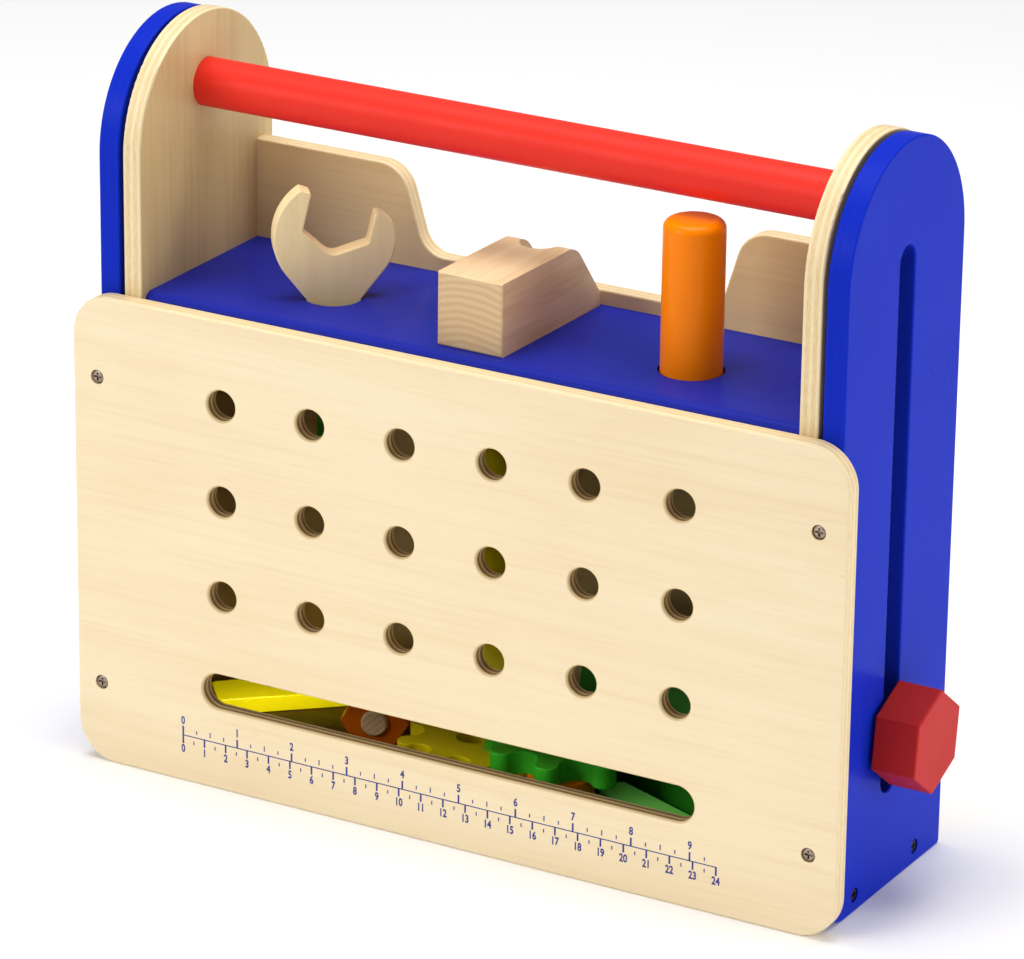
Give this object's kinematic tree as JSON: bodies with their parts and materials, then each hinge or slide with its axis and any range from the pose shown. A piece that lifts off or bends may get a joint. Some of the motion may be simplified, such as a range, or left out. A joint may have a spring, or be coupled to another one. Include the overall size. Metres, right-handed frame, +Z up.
{
  "type": "toy workbench",
  "caption": "Wooden toolbox that turns into a toy workbench: drilled bench front with a printed ruler, slotted blue sides, and a sliding rack with handle and toy tools.",
  "frame": {"origin": "middle of the overall box, on the floor plane", "axes": "+X to the right along the bench front, -Y out of the bench front towards the user, +Z up"},
  "size_m": [0.3654, 0.104, 0.3021],
  "materials": {
    "natural_ply": "clear satin lacquer on pale plywood, plies showing at the edges",
    "brown_board": "dark brown stained plywood",
    "blue_wood": "blue satin paint on plywood",
    "red_wood": "red satin paint on a round bar",
    "knob_red": "dark red satin paint",
    "steel": "zinc-plated steel",
    "insert_brass": "plain brass",
    "nylon": "white nylon",
    "hardwood": "clear satin lacquer on solid hardwood",
    "pale_wood": "clear satin lacquer on pale plywood",
    "dowel_wood": "plain pale dowel",
    "yellow_wood": "yellow satin paint",
    "green_wood": "green satin paint",
    "orange_wood": "orange gloss paint"
  },
  "bodies": {
    "bench_frame": {"front_panel": "natural_ply", "side_panel_left": "blue_wood", "side_panel_right": "blue_wood", "bottom_board": "brown_board", "panel_screws": "steel", "base_screws": "steel", "yellow_strip": "yellow_wood", "wooden_bolt": "dowel_wood", "yellow_gear": "yellow_wood", "green_gear": "green_wood", "orange_disc": "orange_wood", "dowel_pegs": "dowel_wood", "green_strip": "green_wood", "green_plate": "green_wood"},
    "tool_rack": {"end_panel_left": "natural_ply", "end_panel_right": "natural_ply", "tool_board": "blue_wood", "back_panel": "natural_ply", "handle_bar": "red_wood", "rack_screws": "steel", "handle_screws": "steel", "threaded_inserts": "insert_brass", "slot_bushings": "nylon"},
    "knob_right": {"knob_right": "knob_red", "knob_bolt_right": "steel", "knob_washer_right": "steel"},
    "knob_left": {"knob_left": "knob_red", "knob_bolt_left": "steel", "knob_washer_left": "steel"},
    "wrench": {"wrench_head": "pale_wood", "wrench_handle": "green_wood"},
    "hammer": {"hammer_head": "hardwood", "hammer_handle": "yellow_wood"},
    "screwdriver": {"screwdriver_handle": "orange_wood", "screwdriver_shaft": "dowel_wood"},
    "nut": {"orange_nut": "orange_wood"}
  },
  "joints": [
    {"name": "rack_lift", "type": "slide", "parent": "bench_frame", "child": "tool_rack", "axis": [0, 0, 1], "range_m": [0, 0.1885]},
    {"name": "knob_right_turn", "type": "hinge", "parent": "tool_rack", "child": "knob_right", "pos_m": [0.164, 0.0035, 0.0654], "axis": [1, 0, 0], "continuous": true},
    {"name": "knob_left_turn", "type": "hinge", "parent": "tool_rack", "child": "knob_left", "pos_m": [-0.164, 0.0035, 0.0654], "axis": [-1, 0, 0], "continuous": true},
    {"name": "wrench_turn", "type": "hinge", "parent": "tool_rack", "child": "wrench", "pos_m": [-0.079, -0.0073, 0.1992], "axis": [0, 0, 1], "continuous": true},
    {"name": "hammer_lift", "type": "slide", "parent": "tool_rack", "child": "hammer", "axis": [0, 0, 1], "range_m": [0, 0.034]},
    {"name": "screwdriver_turn", "type": "hinge", "parent": "tool_rack", "child": "screwdriver", "pos_m": [0.0792, -0.0072, 0.1992], "axis": [0, 0, 1], "continuous": true},
    {"name": "nut_turn", "type": "hinge", "parent": "bench_frame", "child": "nut", "pos_m": [-0.05495, -0.0156, 0.0259], "axis": [-0.3746, 0.9272, 0], "continuous": true}
  ]
}
